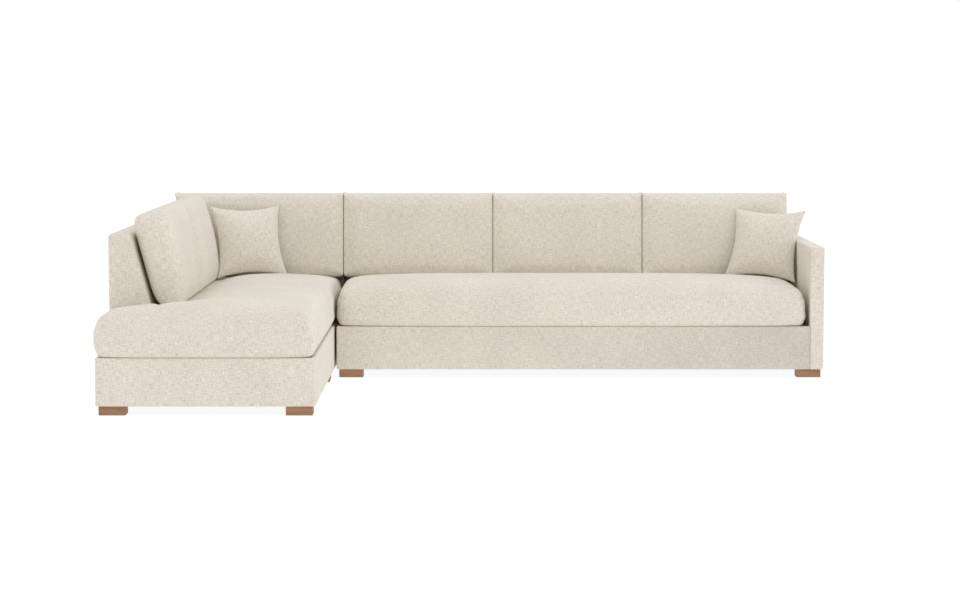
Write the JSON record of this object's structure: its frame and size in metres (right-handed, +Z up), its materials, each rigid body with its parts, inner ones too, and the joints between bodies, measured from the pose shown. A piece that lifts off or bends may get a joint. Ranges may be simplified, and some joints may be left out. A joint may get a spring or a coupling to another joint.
{
  "type": "sectional sofa",
  "caption": "L-shaped sectional sofa: a bumper chaise with an inclined side back at the left, a slim track arm at the right, loose cushions, throw pillows and low wooden block feet.",
  "frame": {"origin": "middle of the footprint of the whole sofa, on the floor", "axes": "+X to the right as seen from the front, +Y towards the back, +Z up; the front faces -Y"},
  "size_m": [3.04, 2.21, 0.785],
  "materials": {
    "upholstery": "matte",
    "foot_wood": "satin",
    "hardwood": "matte",
    "steel": "satin",
    "felt": "matte",
    "foam": "matte"
  },
  "bodies": {
    "sofa_frame": {"sofa_arm_cover": "upholstery", "sofa_arm_frame": "hardwood", "sofa_back_cover": "upholstery", "sofa_back_frame": "hardwood", "sofa_centre_rail": "hardwood", "sofa_connector_front": "steel", "sofa_connector_rear": "steel", "sofa_dust_cover": "felt", "sofa_foot_centre": "foot_wood", "sofa_foot_front_left": "foot_wood", "sofa_foot_front_right": "foot_wood", "sofa_foot_rear_left": "foot_wood", "sofa_foot_rear_right": "foot_wood", "sofa_front_border": "upholstery", "sofa_front_rail": "hardwood", "sofa_left_border": "upholstery", "sofa_left_rail": "hardwood", "sofa_rear_border": "upholstery", "sofa_rear_rail": "hardwood", "sofa_right_rail": "hardwood", "sofa_seat_deck": "felt", "sofa_seat_springs": "steel"},
    "bumper_frame": {"bumper_back_cover": "upholstery", "bumper_back_frame": "hardwood", "bumper_connector_front": "steel", "bumper_connector_rear": "steel", "bumper_cross_rail": "hardwood", "bumper_dust_cover": "felt", "bumper_foot_front_left": "foot_wood", "bumper_foot_front_right": "foot_wood", "bumper_foot_middle_left": "foot_wood", "bumper_foot_middle_right": "foot_wood", "bumper_foot_rear_left": "foot_wood", "bumper_foot_rear_right": "foot_wood", "bumper_front_border": "upholstery", "bumper_front_rail": "hardwood", "bumper_left_border": "upholstery", "bumper_left_rail": "hardwood", "bumper_rear_border": "upholstery", "bumper_rear_rail": "hardwood", "bumper_right_border": "upholstery", "bumper_right_rail": "hardwood", "bumper_seat_deck": "felt", "bumper_seat_springs": "steel", "bumper_side_cover": "upholstery", "bumper_side_frame": "hardwood"},
    "bench": {"bench_cushion": "upholstery", "bench_foam_core": "foam", "bench_cushion_zip": "felt"},
    "bumper_seat": {"bumper_seat_cushion": "upholstery", "bumper_foam_core": "foam", "bumper_cushion_zip": "felt"},
    "back_cushion_left_body": {"back_cushion_left": "upholstery"},
    "back_cushion_centre_body": {"back_cushion_centre": "upholstery"},
    "back_cushion_right_body": {"back_cushion_right": "upholstery"},
    "bumper_back_cushion_body": {"bumper_back_cushion": "upholstery"},
    "side_cushion_front_body": {"side_cushion_front": "upholstery"},
    "side_cushion_rear_body": {"side_cushion_rear": "upholstery"},
    "throw_pillow_left_body": {"throw_pillow_left": "upholstery"},
    "throw_pillow_right_body": {"throw_pillow_right": "upholstery"}
  },
  "joints": [
    {"name": "bench_lift", "type": "slide", "parent": "sofa_frame", "child": "bench", "axis": [0, 0, 1], "range_m": [0, 0.2]},
    {"name": "back_cushion_left_lift", "type": "slide", "parent": "bench", "child": "back_cushion_left_body", "axis": [0, 0.1822, 0.9833], "range_m": [0, 0.25]},
    {"name": "back_cushion_centre_lift", "type": "slide", "parent": "bench", "child": "back_cushion_centre_body", "axis": [0, 0.1822, 0.9833], "range_m": [0, 0.25]},
    {"name": "back_cushion_right_lift", "type": "slide", "parent": "bench", "child": "back_cushion_right_body", "axis": [0, 0.1822, 0.9833], "range_m": [0, 0.25]},
    {"name": "throw_pillow_right_lift", "type": "slide", "parent": "back_cushion_right_body", "child": "throw_pillow_right_body", "axis": [0, 0.1822, 0.9833], "range_m": [0, 0.2]},
    {"name": "bumper_unhook", "type": "slide", "parent": "sofa_frame", "child": "bumper_frame", "axis": [0, 0, 1], "range_m": [0, 0.06]},
    {"name": "bumper_seat_lift", "type": "slide", "parent": "bumper_frame", "child": "bumper_seat", "axis": [0, 0, 1], "range_m": [0, 0.2]},
    {"name": "bumper_back_cushion_lift", "type": "slide", "parent": "bumper_seat", "child": "bumper_back_cushion_body", "axis": [0, 0.1822, 0.9833], "range_m": [0, 0.25]},
    {"name": "side_cushion_front_lift", "type": "slide", "parent": "bumper_seat", "child": "side_cushion_front_body", "axis": [-0.1822, 0, 0.9833], "range_m": [0, 0.25]},
    {"name": "side_cushion_rear_lift", "type": "slide", "parent": "bumper_seat", "child": "side_cushion_rear_body", "axis": [-0.1822, 0, 0.9833], "range_m": [0, 0.25]},
    {"name": "throw_pillow_left_lift", "type": "slide", "parent": "bumper_back_cushion_body", "child": "throw_pillow_left_body", "axis": [0, 0.1822, 0.9833], "range_m": [0, 0.2]}
  ]
}
